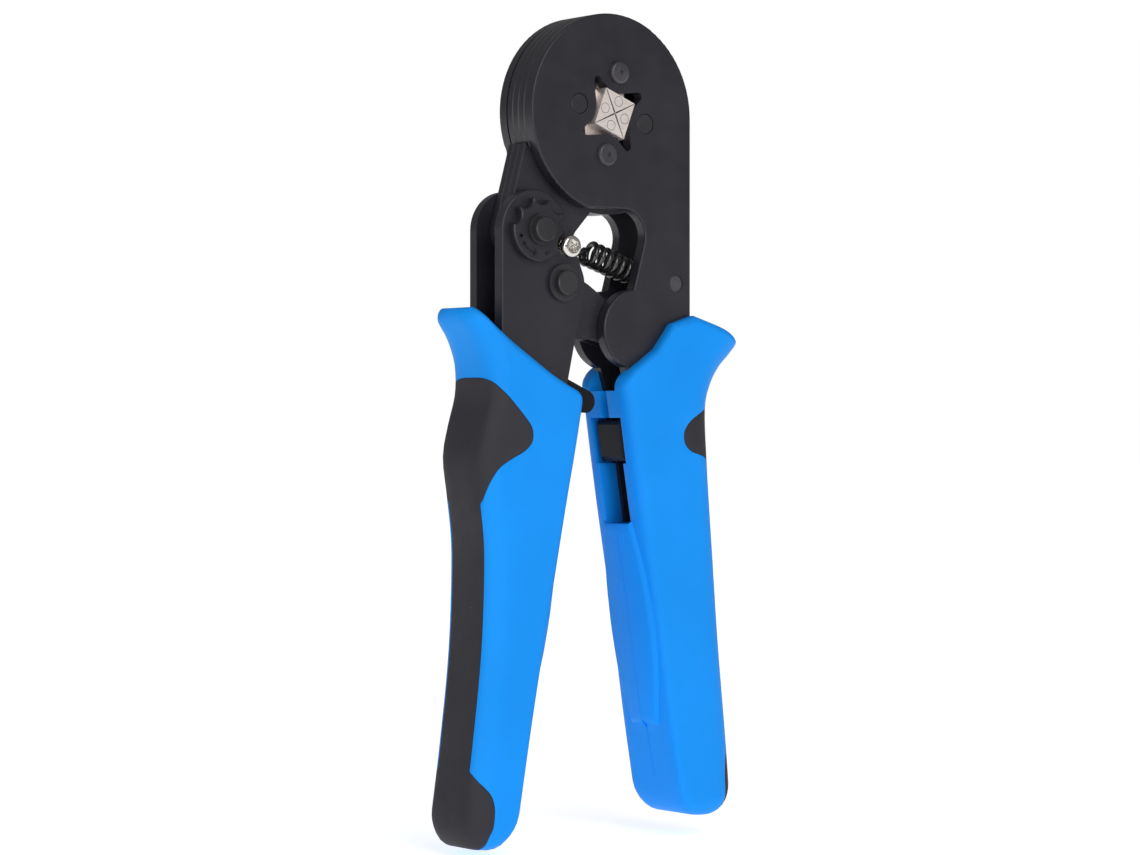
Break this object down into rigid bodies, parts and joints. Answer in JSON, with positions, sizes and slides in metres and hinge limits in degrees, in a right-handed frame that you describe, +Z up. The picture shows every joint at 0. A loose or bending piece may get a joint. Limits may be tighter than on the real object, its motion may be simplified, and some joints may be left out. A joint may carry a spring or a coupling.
{
  "type": "wire ferrule crimping plier",
  "caption": "Hand plier that presses wire end sleeves square between four dies, with an adjuster wheel, return spring, release lever and two-colour grips.",
  "frame": {"origin": "centre of the crimp opening, on the middle plane of the steel plates", "axes": "+Z up from the handles to the head, +X to the right seen from the front, +Y towards the rear face"},
  "size_m": [0.0712, 0.0188, 0.1736],
  "materials": {
    "black_oxide_steel": "black oxide, satin",
    "die_steel": "nickel, fine ground",
    "bright_steel": "bright zinc or nickel",
    "spring_steel": "black, glossy",
    "grip_plastic": "satin blue, fine grain",
    "soft_insert": "charcoal, soft",
    "black_plastic": "black, satin"
  },
  "bodies": {
    "frame": {"frame_plate_front": "black_oxide_steel", "frame_plate_rear": "black_oxide_steel", "die_pins_domed": "black_oxide_steel", "die_pins_flush": "black_oxide_steel", "spring_anchor_pin": "black_oxide_steel", "pawl_pin": "black_oxide_steel", "frame_rivets": "black_oxide_steel", "frame_spacers": "black_oxide_steel", "fixed_grip_sleeve": "grip_plastic", "fixed_grip_insert": "soft_insert", "return_spring": "spring_steel", "pawl_spring": "spring_steel"},
    "rotor": {"rotor_plate_front": "black_oxide_steel", "rotor_plate_middle": "black_oxide_steel", "rotor_plate_rear": "black_oxide_steel", "rotor_rivets": "black_oxide_steel", "rotor_drive_pins": "black_oxide_steel"},
    "adjuster_pin": {"adjuster_pin": "black_oxide_steel", "adjuster_clips": "black_oxide_steel"},
    "handle": {"arm_plate_front": "black_oxide_steel", "arm_plate_rear": "black_oxide_steel", "adjuster_wheel": "black_oxide_steel", "lock_screw": "bright_steel", "toggle_pin": "black_oxide_steel", "toggle_clips": "black_oxide_steel", "handle_stop": "black_plastic", "handle_rivets": "black_oxide_steel", "handle_spacers": "black_oxide_steel", "moving_grip_sleeve": "grip_plastic", "moving_grip_insert": "soft_insert"},
    "strut_pin": {"strut_pin": "black_oxide_steel"},
    "strut": {"strut_plate_front": "black_oxide_steel", "strut_plate_rear": "black_oxide_steel", "strut_spacer": "black_oxide_steel", "strut_rivets": "black_oxide_steel"},
    "release_lever": {"release_lever": "black_plastic"},
    "die_top": {"crimp_die_top": "die_steel", "die_rivet_top": "die_steel"},
    "die_left": {"crimp_die_left": "die_steel", "die_rivet_left": "die_steel"},
    "die_bottom": {"crimp_die_bottom": "die_steel", "die_rivet_bottom": "die_steel"},
    "die_right": {"crimp_die_right": "die_steel", "die_rivet_right": "die_steel"}
  },
  "joints": [
    {"name": "handle_open", "type": "hinge", "parent": "rotor", "child": "adjuster_pin", "pos_m": [-0.0203, 0, -0.0252], "axis": [0, -1, 0], "range_deg": [-18.4, 0]},
    {"name": "handle_squeeze", "type": "hinge", "parent": "adjuster_pin", "child": "handle", "pos_m": [-0.0203, 0, -0.0252], "axis": [0, -1, 0], "range_deg": [0, 16.5], "stiffness_Nm_per_rad": 0.4, "springref_deg": -22.92},
    {"name": "rotor_turn", "type": "hinge", "parent": "frame", "child": "rotor", "pos_m": [0, 0, 0], "axis": [0, -1, 0], "range_deg": [0, 4], "deforming": ["return_spring"]},
    {"name": "strut_pin_turn", "type": "hinge", "parent": "frame", "child": "strut_pin", "pos_m": [0.0062, 0, -0.0453], "axis": [0, -1, 0], "range_deg": [0, 8]},
    {"name": "strut_swing", "type": "hinge", "parent": "strut_pin", "child": "strut", "pos_m": [0.0062, 0, -0.0453], "axis": [0, -1, 0], "range_deg": [-9.7, 0]},
    {"name": "release_lever_pull", "type": "hinge", "parent": "frame", "child": "release_lever", "pos_m": [0.013, 0, -0.0605], "axis": [0, 1, 0], "range_deg": [0, 3.2], "stiffness_Nm_per_rad": 0.1, "springref_deg": -11.46, "deforming": ["pawl_spring"]},
    {"name": "die_top_swing", "type": "hinge", "parent": "frame", "child": "die_top", "pos_m": [0.00165, 0, 0.00875], "axis": [0, -1, 0], "range_deg": [0, 10]},
    {"name": "die_left_swing", "type": "hinge", "parent": "frame", "child": "die_left", "pos_m": [-0.00875, 0, 0.00165], "axis": [0, -1, 0], "range_deg": [0, 10]},
    {"name": "die_bottom_swing", "type": "hinge", "parent": "frame", "child": "die_bottom", "pos_m": [-0.00165, 0, -0.00875], "axis": [0, -1, 0], "range_deg": [0, 10]},
    {"name": "die_right_swing", "type": "hinge", "parent": "frame", "child": "die_right", "pos_m": [0.00875, 0, -0.00165], "axis": [0, -1, 0], "range_deg": [0, 10]}
  ],
  "couplings": [
    {"joint": "rotor_turn", "follows": "handle_open", "ratio": -0.2168},
    {"joint": "strut_pin_turn", "follows": "handle_open", "ratio": -0.4331},
    {"joint": "strut_swing", "follows": "handle_squeeze", "ratio": -0.5858},
    {"joint": "die_top_swing", "follows": "handle_open", "ratio": -0.5395},
    {"joint": "die_left_swing", "follows": "handle_open", "ratio": -0.5395},
    {"joint": "die_bottom_swing", "follows": "handle_open", "ratio": -0.5395},
    {"joint": "die_right_swing", "follows": "handle_open", "ratio": -0.5395}
  ]
}
